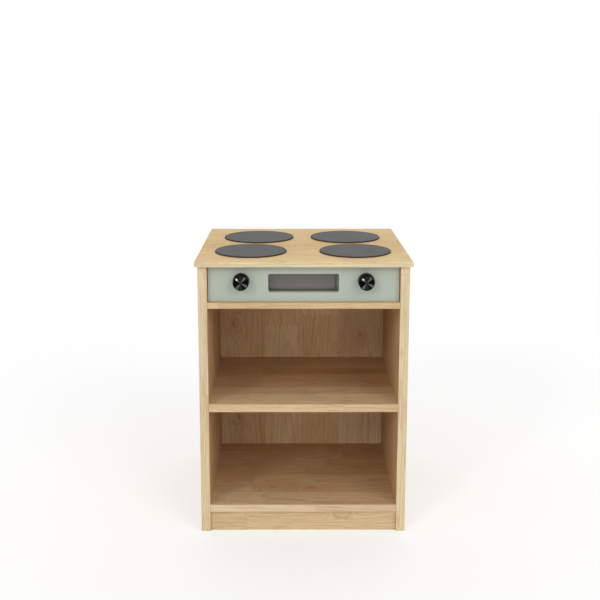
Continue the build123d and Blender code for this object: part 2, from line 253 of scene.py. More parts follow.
class BeechSettings(bpy.types.PropertyGroup):
    """The beech of the dowels"""

    early: colour("Early wood", "Pale wood between the rings", 214, 178, 140)
    late: colour("Late wood", "Dark line that ends each ring", 176, 132, 94)
    ring: size("Ring spacing", "Distance between growth rings", 0.0018)
    waver: size("Waver", "How far the rings waver along the grain", 0.004)


class PaintSettings(bpy.types.PropertyGroup):
    """The painted panel and the sheet behind its window"""

    sage: colour("Panel", "Satin paint of the control panel", 184, 194, 181)
    # painted light: head and foot paler than the middle to lift the recess's shade, and a warm foot as
    # painted bounce
    head: colour("Display head", "Grey along the display's upper edge", 106, 99, 97)
    middle: colour("Display", "Grey of the blank display", 96, 88, 85)
    foot: colour("Display foot", "Warmer grey along the display's lower edge", 131, 121, 116)
    # painted shadow: the border and margin stand in for the recess's shaded walls along the display's foot
    # and right end
    border: colour("Display border", "Dark line that borders the display's foot and right end", 40, 41, 33)
    margin: colour("Display margin", "Shaded sage outside that line", 128, 137, 118)
    painted_shadow_foot: size("Foot border", "Height of the border at the display's foot", 0.0136)
    painted_shadow_right: size("Right border", "Width of the border at the display's right end", 0.0192)
    painted_shadow_line: size("Border line", "Width of the dark line", 0.0040)
    painted_shadow_corner: size("Border corner", "Inner corner radius of the border", 0.0040)
    painted_shadow_blur: size("Border blur", "Softness of the border's inner edge", 0.0003)
    # the spacer's dark stain also stands in for the shade in the window's recess, as painted shade
    spacer: colour("Spacer", "Stained frame behind the window", 38, 41, 30)
    orange_peel: size("Paint texture", "Size of the ripples in the paint", 0.0022)


class HotplateSettings(bpy.types.PropertyGroup):
    """The four round hotplates"""

    face: colour("Face", "Matt grey of the plates", 70, 69, 68)
    # the dark rim and the bare border inside it also stand in for shade along each plate's edge, as painted
    # shade
    rim: colour("Rim", "Brown-black edge of the plates", 44, 36, 32)
    gap: size("Gap", "Gap between a plate and its seat", 0.00035)
    round: size("Rim radius", "Rounding of the upper rim", 0.0007)
    border: size("Border", "Width of the bare border inside the rim", 0.0011)
    steps: facets("Steps", "Facets round a plate", 192)


class KnobSettings(bpy.types.PropertyGroup):
    """The two turned knobs"""

    body: colour("Body", "Black of the knob", 4, 4, 5)
    face: colour("Face", "Black metal of the face", 9, 9, 10)
    # painted reflections: the rays are bright streaks painted on the face, which turn with the knob
    painted_ray: colour("Rays", "Bright rays of the face's sunray finish", 118, 118, 120)
    # painted glint: the pointer dot is a bright spot painted near the rim
    dot: colour("Pointer dot", "Polished dot that shows where the knob points", 238, 238, 242)
    glint_radius: size("Pointer dot radius", "Radius of the pointer dot", 0.0017)
    glint_reach: size("Pointer dot reach", "Distance from the knob's middle to the dot's", 0.0099)
    glint_turn: share("Pointer dot turn", "Share of a turn from straight down, by way of the right", 0.628)
    crown: size("Crown radius", "Radius where the shoulder starts", 0.0152)
    shoulder: size("Shoulder", "Rounding between the side and the face", 0.0034)
    dish: size("Dish", "Depth of the hollow in the face", 0.0005)
    dish_radius: size("Dish radius", "Radius of the hollow in the face", 0.011)
    # the painted rays run this far out
    face_radius: size("Face radius", "How far out the sunray finish runs", 0.0134)
    arris: size("Foot edge", "Eased edge of the foot", 0.0006)
    recess: size("Foot recess", "Radius of the recess over the bush", 0.0098)
    grip: size("Bore", "Length of the spindle that the knob holds", 0.015)
    steps: facets("Steps", "Facets round a knob", 128)


class FastenerSettings(bpy.types.PropertyGroup):
    """Screws, spindles, nuts, washers and bushes"""

    zinc: colour("Zinc", "Bright zinc plating", 208, 206, 200)
    nylon: colour("Nylon", "Natural nylon of the bushes", 228, 226, 216)
    head: size("Screw head", "Radius of a screw's head", 0.0036)
    shank: size("Screw shank", "Radius of a screw's shank", 0.00175)
    tip: size("Screw tip", "Length of a screw's pointed end", 0.002)
    recess: size("Cross recess", "Depth of the cross in a screw's head", 0.0013)
    arm: size("Cross arm", "Width of the cross in a screw's head", 0.0009)
    reach: share("Cross reach", "Reach of the cross's arms, as a share of the head's radius", 0.62)
    flat: share("Flat", "Flat part of a screw's head, as a share of its radius", 0.97)
    edge: size("Head edge", "Thickness of the edge of a screw's head", 0.0001)
    rings: facets("Rings", "Rings of facets on a screw's head", 26)
    steps: facets("Steps", "Facets round a screw", 96)


class StageSettings(bpy.types.PropertyGroup):
    """Camera, floor and lamps"""

    lens: FloatProperty(name="Focal length", description="Focal length", default=55.16, unit="CAMERA")
    place: FloatVectorProperty(
        name="Camera", description="Its place", default=(-0.0240, -1.9061, 0.8887), subtype="XYZ_LENGTH"
    )
    pitch: FloatProperty(
        name="Pitch", description="Angle that the camera looks down", default=0.1716, unit="ROTATION"
    )
    turn: FloatProperty(
        name="Turn", description="Angle that the camera looks to the right", default=0.0020, unit="ROTATION"
    )
    shift: FloatVectorProperty(
        name="Shift", description="Camera's shift, as a share of the picture", default=(0.0118, -0.1), size=2
    )
    floor: size("Floor", "Width of the floor", 60.0)
    paper: share("Paper", "Brightness of the floor where it is seen", 0.62)
    glow: share("Glow", "Light of the floor's own where it is seen", 0.44)
    bounce: share("Bounce", "Brightness of the floor in the light it sends back", 0.80)
    sky: share("Sky", "Strength of the even light from all round", 0.73)


class CookerSettings(bpy.types.PropertyGroup):
    """All the settings of the toy cooker"""

    pine: PointerProperty(type=PineSettings)
    beech: PointerProperty(type=BeechSettings)
    paint: PointerProperty(type=PaintSettings)
    hotplate: PointerProperty(type=HotplateSettings)
    knob: PointerProperty(type=KnobSettings)
    fastener: PointerProperty(type=FastenerSettings)
    stage: PointerProperty(type=StageSettings)


# ---- materials
def math_node(operation):
    """A method that adds one Math node, on the field and on any other values."""

    def method(self, *others):
        return self.recipe.maths(operation, self, *others)

    return method


class Field:
    """A value that varies over a piece. Arithmetic on it adds Math nodes to its recipe.

    whole is the whole number below it, and part is what is left above that. or_more and or_less are the
    larger and the smaller of it and another value.
    """

    __add__ = __radd__ = math_node("ADD")
    __sub__ = math_node("SUBTRACT")
    __mul__ = __rmul__ = math_node("MULTIPLY")
    __truediv__ = math_node("DIVIDE")
    __abs__ = math_node("ABSOLUTE")
    whole = math_node("FLOOR")
    part = math_node("FRACT")
    root = math_node("SQRT")
    or_more = math_node("MAXIMUM")
    or_less = math_node("MINIMUM")

    def __init__(self, recipe, socket):
        self.recipe = recipe
        self.socket = socket

    def __rsub__(self, other):
        return self.recipe.maths("SUBTRACT", other, self)

    def squared(self):
        return self * self

    def eased(self, low, high):
        """0 at low and 1 at high, with a smooth change between them."""
        node = self.recipe.node("MapRange", value=self, from_min=low, from_max=high)
        node.interpolation_type = "SMOOTHSTEP"
        return Field(self.recipe, node.outputs["Result"])


class Recipe:
    """A material or world under construction, with its shader. Its methods add nodes."""

    COLUMNS = 12
    SPACING = (190, -240)

    def __init__(self, name, library=bpy.data.materials, shader="Principled BSDF"):
        self.owner = library.new(name)
        self.owner.use_nodes = True
        self.nodes = self.owner.node_tree.nodes
        self.links = self.owner.node_tree.links
        self.shader = self.nodes[shader]

    def node(self, kind, **inputs):
        node = self.nodes.new(f"ShaderNode{kind}")
        row, column = divmod(len(self.nodes), self.COLUMNS)
        node.location = ((column - self.COLUMNS) * self.SPACING[0], row * self.SPACING[1])
        return self.fill(node, inputs)

    def field(self, output, kind, **inputs):
        """Add a node, and give one of its outputs."""
        return Field(self, self.node(kind, **inputs).outputs[output])

    def fill(self, node, inputs):
        """Feed a node's inputs by their names: base_color is its Base Color, and so on."""
        for name, value in inputs.items():
            self.feed(next(s for s in node.inputs if s.name.lower() == name.replace("_", " ")), value)
        return node

    def feed(self, socket, value):
        """Link a field to a socket, or set the socket to a plain value."""
        if isinstance(value, Field):
            self.links.new(value.socket, socket)
        else:
            socket.default_value = (*value, 1.0) if socket.type == "RGBA" else value

    def shade(self, **inputs):
        """Feed the shader's inputs, and give the finished material or world."""
        self.fill(self.shader, inputs)
        return self.owner

    def maths(self, operation, *values):
        node = self.node("Math")
        node.operation = operation
        for socket, value in zip(node.inputs, values):
            self.feed(socket, value)
        return Field(self, node.outputs["Value"])

    def apart(self, vector):
        """The three numbers of a vector."""
        return [Field(self, socket) for socket in self.node("SeparateXYZ", vector=vector).outputs]

    def together(self, *numbers):
        """A vector from up to three numbers."""
        node = self.node("CombineXYZ")
        for socket, number in zip(node.inputs, numbers):
            self.feed(socket, number)
        return Field(self, node.outputs["Vector"])

    def place(self):
        """A point's place on the piece, in metres."""
        return self.field("Object", "TexCoord")

    def grain(self, axes):
        """A point's places along the grain, across the staves and through the thickness, in metres."""
        numbers = dict(zip("XYZ", self.apart(self.place())))
        return [numbers[axis] for axis in axes]

    def facing(self):
        """The way that the surface faces."""
        return self.field("Normal", "TexCoord")

    def wrap(self):
        """The piece's own UV map: round it and along its profile."""
        return self.field("UV", "UVMap")

    def seen(self):
        """1 for what the camera sees, straight or in gloss and glass, and 0 for what only lights it."""
        camera, glossy, passed = (
            self.field(f"Is {kind} Ray", "LightPath") for kind in ("Camera", "Glossy", "Transmission")
        )
        return camera.or_more(glossy).or_more(passed)

    def noise(self, place=None, scale=1.0, **look):
        """Noise over the piece, or over the places given."""
        return self.field("Fac", "TexNoise", vector=place or self.place(), scale=scale, **look)

    def strands(self, grain, along_scale, cross_scale, shift=0.0, **look):
        """Noise drawn out along the grain, by its scale along it and its scale across it."""
        along, across, through = grain
        place = self.together(along * along_scale, across * cross_scale + shift, through * cross_scale)
        return self.noise(place, **look)

    def luck(self, *numbers):
        """Three chance numbers from 0 to 1, alike wherever the given numbers are alike."""
        return self.apart(self.field("Color", "TexWhiteNoise", vector=self.together(*numbers)))

    def ramp(self, factor, stops, interpolation="LINEAR"):
        """The colour of the (place, colour) stops at a factor from 0 to 1."""
        node = self.node("ValToRGB", fac=factor)
        ramp = node.color_ramp
        ramp.interpolation = interpolation
        ramp.elements.remove(ramp.elements[-1])
        ramp.elements[0].position = stops[0][0]
        for position, _ in stops[1:]:
            ramp.elements.new(position)
        for element, (_, shade) in zip(ramp.elements, stops):
            element.color = (*shade, 1.0)
        return Field(self, node.outputs["Color"])

    def level(self, factor, stops):
        """A number that runs through the (place, number) stops at a factor from 0 to 1."""
        shades = [(position, (number,) * 3) for position, number in stops]
        return self.apart(self.ramp(factor, shades))[0]

    def mix(self, factor, first, second, blend="MIX"):
        """Two colours mixed, or blended in another of Blender's ways."""
        node = self.node("Mix")
        node.data_type = "RGBA"
        node.blend_type = blend
        sockets = {socket.identifier: socket for socket in node.inputs}
        for name, value in (("Factor_Float", factor), ("A_Color", first), ("B_Color", second)):
            self.feed(sockets[name], value)
        return Field(self, next(s for s in node.outputs if s.identifier == "Result_Color"))

    def dim(self, shade, number):
        """A colour multiplied by a number that varies."""
        return self.mix(1.0, shade, self.together(number, number, number), "MULTIPLY")

    def bump(self, height, microns):
        """A normal for a height from 0 to 1 that stands for that many millionths of a metre."""
        return self.field("Normal", "Bump", height=height, distance=microns * 1e-6)


# how late the wood is at each share of a ring's width
PINE_RING = ((0.0, 0.0), (0.40, 0.12), (0.78, 0.60), (0.92, 1.0), (1.0, 0.0))
BEECH_RING = ((0.0, 0.1), (0.7, 0.6), (0.9, 1.0), (1.0, 0.1))
# how far across and along the board a point is, in staves and blocks, and its block's luck and tone
Cut = namedtuple("Cut", "staves blocks luck tint")


def cut_blocks(recipe, grain, board, settings):
    """Cut a board into staves, and each stave into blocks whose ends are finger joints."""
    along, across, _ = grain
    low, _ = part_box(board.node)
    start = low["XYZ".index(board.axes[1])] + board.first_seam - settings.stave
    staves = (across - start) / settings.stave
    row = len(board.tints)

    def by_stave(values):
        """The stave's own colour out of a row of them."""
        stops = [(number / row, value) for number, value in enumerate(values)]
        return recipe.ramp(staves / row, stops, "CONSTANT")

    joints = board.joints or stepped(board.seed, row)
    joint = recipe.apart(by_stave([(joint,) * 3 for joint in joints]))[0]
    teeth = abs((across / settings.pitch).part() - 0.5) * (2 * settings.finger)
    blocks = (along + teeth) / settings.block + joint
    other = (blocks.whole() * 0.5).part() * 2.0
    tint = recipe.mix(other, by_stave(board.tints), by_stave(board.others or board.tints))
    return Cut(staves, blocks, recipe.luck(staves.whole(), blocks.whole(), board.seed), tint)


def nearest_knot(grain, board):
    """Distance to the nearest knot: the root of (half that along) squared plus (that across) squared."""
    along, across, _ = grain
    distances = [(((along - x) * 0.5).squared() + (across - y).squared()).root() for x, y in board.knots]
    return functools.reduce(Field.or_less, distances)


def late_wood(recipe, grain, cut, swelling, board, settings):
    """How late in its growth ring the wood is: 0 for early wood and 1 for the line that ends the ring.

    Each block is cut from its own log. The distance to the log's heart is the root of the squared distances
    across and through the board, and each ring spacing of it is one ring. The heart leans and wavers along
    the grain, and the rings swell round a knot.
    """
    along, across, through = grain
    luck = cut.luck
    low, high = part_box(board.node)
    depth = "XYZ".index(board.axes[2])
    middle = (low[depth] + high[depth]) / 2
    log = recipe.together(along * 2.6 + luck[0] * 40.0, across * 9.0 + luck[1] * 40.0, through * 9.0)
    waver = (recipe.noise(log, detail=3.0) - 0.5) * settings.waver
    sideways = (cut.staves.part() - 0.5) * settings.stave - (luck[0] - 0.5) * (1.5 * settings.stave)
    lean = along * ((luck[2] - 0.5) * settings.lean)
    deep = through - middle + luck[1] * settings.heart_range + settings.heart + lean + waver
    distance = (sideways.squared() + deep.squared()).root() + swelling * settings.bulge
    rings = distance / settings.ring
    ring_luck = recipe.luck(rings.whole(), luck[0] * 50.0, board.seed)[0]
    return recipe.level(rings.part(), PINE_RING) * (ring_luck * 0.7 + 0.3)


def pine(board, settings):
    """Edge-glued, finger-jointed pine, solid all through: growth rings and knots under a matt lacquer.

    Rosy streaks, soft dashes, short resin lines and fibres run along the grain, and clouds of tone drift
    over it. Glue lines and finger joints show as fine dark lines.
    """
    recipe = Recipe(f"pine_{board.node}")
    grain = recipe.grain(board.axes)
    cut = cut_blocks(recipe, grain, board, settings)
    swelling = 0.0
    if board.knots:
        to_knot = nearest_knot(grain, board)
        swelling = 1.0 - to_knot.eased(0.0, settings.swirl)
    late = late_wood(recipe, grain, cut, swelling, board, settings)
    shift = cut.luck[1] * 3.0
    streak = recipe.strands(grain, 6.0, 240.0, shift, detail=4.0, roughness=0.6).eased(0.45, 0.75)
    dash = recipe.strands(grain, 24.0, 330.0, shift).eased(0.50, 0.68)
    resin = recipe.strands(grain, 55.0, 760.0, detail=1.0).eased(0.64, 0.76)
    fibre = recipe.strands(grain, 35.0, 900.0)
    cloud = recipe.strands(grain, 6.0, 22.0, shift, detail=3.0)

    # the way that the surface faces
    facing = dict(zip("XYZ", recipe.apart(recipe.facing())))
    end_grain = abs(facing[board.axes[0]]).eased(0.6, 0.9)
    flank = 1.0 - end_grain
    broad_face = abs(facing[board.axes[2]]).eased(0.5, 0.8)
    shaded_inward = [(facing[side[1]] * float(f"{side[0]}1")).eased(0.5, 0.8) for side in board.inside]

    # glue lines, and joint lines, which are darkest on the broad faces
    to_seam, to_joint = (0.5 - abs(field.part() - 0.5) for field in (cut.staves, cut.blocks))
    seam = 1.0 - to_seam.eased(0.0, settings.seam / settings.stave)
    joint_line = (1.0 - to_joint.eased(0.0, settings.joint / settings.block)) * (broad_face * 0.8 + 0.2)

    wood = recipe.mix(late * (swelling * 0.6 + settings.contrast), settings.early, settings.late)
    wood = recipe.mix(streak * flank * 0.55, wood, settings.streak)
    wood = recipe.mix(dash * flank * 0.42, wood, settings.dash)
    wood = recipe.mix(1.0, wood, cut.tint, "MULTIPLY")
    wood = recipe.mix(cut.luck[1] * 0.5, wood, recipe.mix(1.0, wood, TAN, "MULTIPLY"))
    tones = [(broad_face, settings.face), (broad_face, board.broad), (1.0 - broad_face, board.narrow)]
    # painted shade: faces that look into the oven take the inside tone
    tones += [(side, settings.inside) for side in shaded_inward]
    for part, tone in (*tones, (end_grain, settings.end)):
        wood = recipe.mix(part, wood, tone, "MULTIPLY")
    light = cut.luck[2] * 0.09 + cloud * 0.24 + fibre * 0.10 - seam * 0.20 - joint_line * 0.30 + 0.86
    wood = recipe.dim(wood, light)
    wood = recipe.mix(resin * flank * 0.34, wood, settings.resin)
    if board.knots:
        wood = recipe.mix(swelling * 0.34, wood, settings.late)
        core = 1.0 - to_knot.eased(settings.core, settings.core_edge)
        wood = recipe.mix(core * 0.45, wood, settings.knot)
    return recipe.shade(
        base_color=wood,
        roughness=fibre * 0.14 - late * 0.06 + end_grain * 0.15 + (settings.gloss - 0.06),
        specular_ior_level=0.4,
        normal=recipe.bump(late * 0.35 + fibre * 0.5 - resin * 0.5 - seam * 1.2, microns=120),
    )


def beech(name, axes, settings):
    """Turned beech: fine rings from a far-off heart, with short dark rays along the grain."""
    recipe = Recipe(name)
    grain = recipe.grain(axes)
    waver = recipe.strands(grain, 12.0, 60.0)
    rings = (grain[1] + grain[2] * 0.4 + waver * settings.waver) / settings.ring
    late = recipe.level(rings.part(), BEECH_RING)
    rays = recipe.strands(grain, 240.0, 2400.0, detail=1.0)
    wood = recipe.mix(late * 0.6, settings.early, settings.late)
    wood = recipe.dim(wood, 1.04 - rays.eased(0.58, 0.70) * 0.2)
    return recipe.shade(base_color=wood, roughness=0.6 - late * 0.08, normal=recipe.bump(rays, microns=50))


def sage_paint(settings):
    """Satin paint on fibreboard: a faint orange-peel ripple and a slow drift of tone."""
    recipe = Recipe("sage_paint")
    ripple = recipe.noise(scale=1 / settings.orange_peel)
    drift = recipe.noise(scale=14.0, detail=3.0)
    grit = recipe.noise(scale=3200.0, detail=1.0)
    return recipe.shade(
        base_color=recipe.dim(settings.sage, drift * 0.05 + grit * 0.03 + 0.96),
        roughness=ripple * 0.10 + 0.36,
        specular_ior_level=0.42,
        normal=recipe.bump(ripple * 0.8 + grit * 0.2, microns=40),
    )


def display_sheet(settings):
    """Blank satin sheet with painted light: paler at its head and foot than in its middle, to lift the
    recess's shade, and warmer at its foot, a painted bounce from the wood.

    A painted shadow of the recess's walls, a dark line with shaded sage outside it, runs along its foot,
    where it is paler, and its right end. The distance out from the clear part is the root of the squared
    distances past the corner's centre, sideways and down, less the corner's radius.
    """
    recipe = Recipe("display_sheet")
    low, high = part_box("display_panel")
    aside, _, up = recipe.apart(recipe.place())
    cloth = recipe.noise(scale=1800.0)
    drift = recipe.noise(scale=30.0)
    # painted light: paler head and foot, and a warmer foot as painted bounce
    stops = ((0.15, settings.foot), (0.45, settings.middle), (0.82, settings.head))
    sheet = recipe.ramp((up - low.z) / (high.z - low.z), stops)

    # painted shadow along the display's foot and right end
    corner, line, blur = settings.painted_shadow_corner, settings.painted_shadow_line, settings.painted_shadow_blur
    right = (aside - (high.x - settings.painted_shadow_right - corner)).or_more(0.0)
    below = ((low.z + settings.painted_shadow_foot + corner) - up).or_more(0.0)
    out = (right.squared() + below.squared()).root() - corner
    paler = below.eased(0.0, corner) * 0.6
    sheet = recipe.mix(out.eased(-blur, blur) * (1.0 - paler), sheet, settings.border)
    sheet = recipe.mix((out - line).eased(-2 * blur, 2 * blur), sheet, settings.margin)
    return recipe.shade(
        base_color=recipe.dim(sheet, cloth * 0.06 + drift * 0.06 + 0.94),
        roughness=cloth * 0.06 + 0.25,
        specular_ior_level=1.0,
        normal=recipe.bump(cloth, microns=10),
    )


def stain_and_shade(name, stain, scale, depth, roughness, microns):
    """Fibreboard with a dark stain, which shows its short fibres to that depth of tone. In both its uses the
    dark stain also stands in for shade, as painted shade.
    """
    recipe = Recipe(name)
    fibre = recipe.noise(scale=scale, detail=3.0)
    stain = recipe.dim(stain, fibre * depth + (1.0 - depth / 2))
    return recipe.shade(base_color=stain, roughness=roughness, normal=recipe.bump(fibre, microns))


def hotplate_paint(settings):
    """Matt grey paint with a fine stipple, and faint rubbed patches."""
    recipe = Recipe("hotplate_paint")
    stipple = recipe.noise(scale=1600.0)
    rubbed = recipe.noise(scale=26.0, detail=4.0, roughness=0.6)
    return recipe.shade(
        base_color=recipe.dim(settings.face, stipple * 0.12 + rubbed * 0.10 + 0.89),
        roughness=0.62 - rubbed * 0.12 + stipple * 0.08,
        specular_ior_level=0.3,
        normal=recipe.bump(stipple, microns=50),
    )


def knob_body(settings):
    """Black anodised metal, turned: fine rings along the profile, under a thin gloss."""
    recipe = Recipe("knob_body")
    travel = recipe.apart(recipe.wrap())[1]
    turning = recipe.noise(recipe.together(travel * 900.0))
    dust = recipe.noise(scale=2600.0)
    return recipe.shade(
        base_color=recipe.dim(settings.body, dust * 0.5 + 0.75),
        roughness=turning * 0.12 + 0.34,
        specular_ior_level=0.02,
        coat_weight=0.04,
        coat_roughness=0.06,
        normal=recipe.bump(turning, microns=10),
    )


# how bright the painted reflection rays are, from straight down by way of the right to the whole turn
KNOB_PAINTED_RAYS = (
    (0.0, 0.15), (0.06, 0.04), (0.125, 0.02), (0.170, 1.0), (0.215, 0.03), (0.285, 0.0),
    (0.35, 0.03), (0.397, 0.95), (0.445, 0.04), (0.515, 0.13), (0.585, 0.02), (0.628, 0.92),
    (0.672, 0.02), (0.76, 0.0), (0.855, 0.03), (0.902, 1.0), (0.95, 0.05), (1.0, 0.15),
)


def knob_face(settings, length):
    """Spun black metal over fine turning marks, with painted reflections: four bright rays cross in the
    middle.

    A painted glint, a small bright dot, sits near the rim and turns with the knob. The distance to it is the
    root of the squared distances round the knob and out along its profile, whose whole length is given.
    """
    recipe = Recipe("knob_face")
    turn, travel, _ = recipe.apart(recipe.wrap())
    marks = recipe.noise(recipe.together(travel * 1500.0))
    # painted reflections: bright rays mixed into the face's colour
    rays = recipe.level(turn, KNOB_PAINTED_RAYS)
    face = recipe.dim(recipe.mix(rays, settings.face, settings.painted_ray), marks * 0.8 + 0.6)
    # painted glint: a bright dot mixed into the face near the rim
    around = (turn - settings.glint_turn) * (math.tau * settings.glint_reach)
    outward = travel * length - settings.glint_reach
    to_glint = (around.squared() + outward.squared()).root()
    outside = to_glint.eased(settings.glint_radius * 0.85, settings.glint_radius * 1.1)
    face = recipe.mix(outside, settings.dot, face)
    tangent = recipe.node("Tangent")
    tangent.direction_type = "UV_MAP"
    return recipe.shade(
        base_color=face,
        metallic=1.0,
        roughness=0.36,
        anisotropic=0.9,
        tangent=Field(recipe, tangent.outputs["Tangent"]),
    )


def zinc(settings):
    """Bright zinc plating: faint clouds and drawing marks."""
    recipe = Recipe("bright_zinc")
    cloud = recipe.noise(scale=260.0, detail=3.0)
    scratch = recipe.noise(scale=4200.0, detail=1.0)
    return recipe.shade(
        base_color=recipe.dim(settings.zinc, cloud * 0.3 + 0.8),
        metallic=1.0,
        roughness=cloud * 0.25 + 0.22,
        normal=recipe.bump(scratch, microns=10),
    )


def nylon(settings):
    """Natural nylon, slightly waxy."""
    recipe = Recipe("natural_nylon")
    cloud = recipe.noise(scale=420.0)
    resin = recipe.dim(settings.nylon, cloud * 0.1 + 0.93)
    return recipe.shade(base_color=resin, roughness=cloud * 0.1 + 0.4, subsurface_weight=0.15)


# ---- turned pieces
SMOOTH_BELOW = math.radians(35)
NEAR = 1e-5  # lengths that differ by less count as equal


def placed(name, data):
    """A new object in the scene, at the origin."""
    thing = bpy.data.objects.new(name, data)
    bpy.context.scene.collection.objects.link(thing)
    return thing


def arc(centre, radius, start, end, steps):
    """Points on an arc from one angle to another, in degrees: centre plus radius times (cosine, sine)."""
    angles = np.radians(np.linspace(start, end, steps + 1))
    return np.array(centre) + radius * np.stack((np.cos(angles), np.sin(angles)), axis=1)


def along_profile(profile):
    """How far along a profile each of its points is: the sum of the legs before it."""
    legs = np.linalg.norm(np.diff(profile, axis=0), axis=1)
    return np.append(0.0, np.cumsum(legs))


def turned_points(profile, centre, axis, steps, on_top, sink):
    """The top pole, the rings and the foot pole.

    A profile point (radius, height) goes round the axis: centre + height * axis + radius * (cosine * side +
    sine * other side).
    """
    angles = np.arange(steps) * math.tau / steps
    side = np.roll(axis, 1)
    spokes = np.cos(angles)[:, None] * side + np.sin(angles)[:, None] * np.cross(axis, side)
    poles = centre + profile[[0, -1], 1, None] * axis
    radii = profile[1:-1, :1]
    heights = np.repeat(profile[1:-1, 1:], steps, axis=1)
    if sink is not None:
        heights -= np.where(on_top, sink(radii, angles), 0.0)
        poles[0] -= sink(np.zeros((1, 1)), angles[:1])[0, 0] * axis
    rings = centre + radii[..., None] * spokes + heights[..., None] * axis
    return np.vstack((poles[:1], rings.reshape(-1, 3), poles[1:]))


def turned_faces(rings, steps):
    """Faces between that many rings: a fan round the top, bands, and a fan round the foot."""
    ring = 1 + np.arange(rings * steps).reshape(-1, steps)
    after = np.roll(ring, -1, axis=1)
    first, last = np.zeros_like(ring[0]), np.full_like(ring[0], rings * steps + 1)
    fan = np.stack((first, ring[0], after[0]), axis=1)
    bands = np.stack((ring[:-1], ring[1:], after[1:], after[:-1]), axis=-1).reshape(-1, 4)
    foot = np.stack((ring[-1], last, after[-1]), axis=1)
    return [*fan.tolist(), *bands.tolist(), *foot.tolist()]


def turned_wrap(travel, steps):
    """Each corner's place on the UV map: its share of the way round, and along the profile."""
    turn, turn_after = np.arange(steps) / steps, (np.arange(steps) + 1) / steps
    middle = (turn + turn_after) / 2
    level = np.repeat(travel, steps, axis=1)
    fan = np.stack((middle, 0 * turn, turn, level[0], turn_after, level[0]), axis=1)
    band_u = np.stack((turn, turn, turn_after, turn_after), axis=-1)
    band_v = np.stack((level[:-1], level[1:], level[1:], level[:-1]), axis=-1)
    bands = np.stack((np.broadcast_to(band_u, band_v.shape), band_v), axis=-1)
    foot = np.stack((turn, level[-1], middle, 0 * turn + 1, turn_after, level[-1]), axis=1)
    return np.concatenate((fan.ravel(), bands.ravel(), foot.ravel()))


def turned(name, profile, centre, axis, steps, materials, face_radius=0.0, sink=None):
    """A turned solid, placed in the scene.

    The profile runs from the axis at the top, outwards and down, and back to the axis. Faces within
    face_radius of the top take the first material, and the rest take the last. sink is a function of radius
    and angle that lowers the top.
    """
    travel = along_profile(profile)
    travel = travel / travel[-1]
    widest = np.argmax(profile[:, 0])
    level = travel[1:-1, None]
    on_top = level < travel[widest]
    mesh = bpy.data.meshes.new(name)
    points = turned_points(profile, centre, axis, steps, on_top, sink)
    mesh.from_pydata(points.tolist(), [], turned_faces(len(level), steps))
    mesh.uv_layers.new(name="wrap").data.foreach_set("uv", turned_wrap(level, steps))

    # materials, by how far out a face reaches
    reaches = np.concatenate(([0.0], profile[2:-1, 0], [math.inf]))
    tops = np.concatenate(([True], on_top[1:, 0], [False]))
    slots = np.where(tops & (reaches <= face_radius + NEAR), 0, len(materials) - 1)
    for material in materials:
        mesh.materials.append(material)
    mesh.polygons.foreach_set("material_index", np.repeat(slots, steps).astype(np.int32))
    mesh.shade_smooth()
    mesh.set_sharp_from_angle(angle=SMOOTH_BELOW)
    mesh.validate()
    return placed(name, mesh)


def joined(name, pieces):
    """Several pieces made one."""
    with bpy.context.temp_override(active_object=pieces[0], selected_editable_objects=pieces):
        bpy.ops.object.join()
    pieces[0].name = name
    return pieces[0]


def dress(material, *nodes):
    """Give CAD nodes their finish."""
    for node in nodes:
        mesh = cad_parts[node].data
        mesh.materials.clear()
        mesh.materials.append(material)


# ---- operators
class COOKER_OT_boards(bpy.types.Operator):
    """Finish every pine board, each with its own staves and grain"""

    bl_idname = "cooker.boards"
    bl_label = "Pine boards"

    def execute(self, context):
        for board in BOARDS:
            dress(pine(board, context.scene.cooker.pine), board.node)
        return {"FINISHED"}


class COOKER_OT_dowels(bpy.types.Operator):
    """Finish the beech dowels, whose grain runs along them"""

    bl_idname = "cooker.dowels"
    bl_label = "Dowels"

    def execute(self, context):
        settings = context.scene.cooker.beech
        dress(beech("beech_level", "XYZ", settings), "shelf_dowels", "ceiling_dowels")
        dress(beech("beech_upright", "ZXY", settings), "worktop_dowels")
        return {"FINISHED"}


class COOKER_OT_panel(bpy.types.Operator):
    """Paint the control panel, and finish the display behind its window"""

    bl_idname = "cooker.panel"
    bl_label = "Control panel"

    def execute(self, context):
        settings = context.scene.cooker.paint
        dress(sage_paint(settings), "control_panel")
        dress(display_sheet(settings), "display_panel")
        # painted shade: the spacer's dark stain also stands in for the recess's shade
        board = stain_and_shade("spacer_stain_and_shade", settings.spacer, scale=900.0, depth=0.5, roughness=0.8, microns=60)
        dress(board, "display_spacer")
        return {"FINISHED"}


class COOKER_OT_hotplates(bpy.types.Operator):
    """Make the four hotplates: discs with a rounded rim, a hair smaller than their seats"""

    bl_idname = "cooker.hotplates"
    bl_label = "Hotplates"

    def execute(self, context):
        settings = context.scene.cooker.hotplate
        # painted shade: the dark edge also stands in for shade along each plate's rim
        edge = stain_and_shade("hotplate_edge_and_shade", settings.rim, scale=1100.0, depth=0.4, roughness=0.7, microns=80)
        materials = (hotplate_paint(settings), edge)
        for place in HOTPLATES:
            node = f"hotplate_{place}"
            low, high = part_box(node)
            radius = (high.x - low.x) / 2 - settings.gap
            thickness = high.z - low.z
            flat = radius - settings.round
            crown = thickness - settings.round
            painted = flat - settings.border
            profile = np.vstack((
                [(0.0, thickness), (painted / 2, thickness), (painted, thickness)],
                arc((flat, crown), settings.round, 90, 0, steps=6),
                [(radius, 0.0), (flat / 2, 0.0), (0.0, 0.0)],
            ))
            centre = np.array(((low.x + high.x) / 2, (low.y + high.y) / 2, low.z))
            name = f"hotplate_{place}_disc"
            plate = turned(name, profile, centre, UPWARD, settings.steps, materials, painted)
            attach(plate, CABINET)
            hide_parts(node)
        return {"FINISHED"}


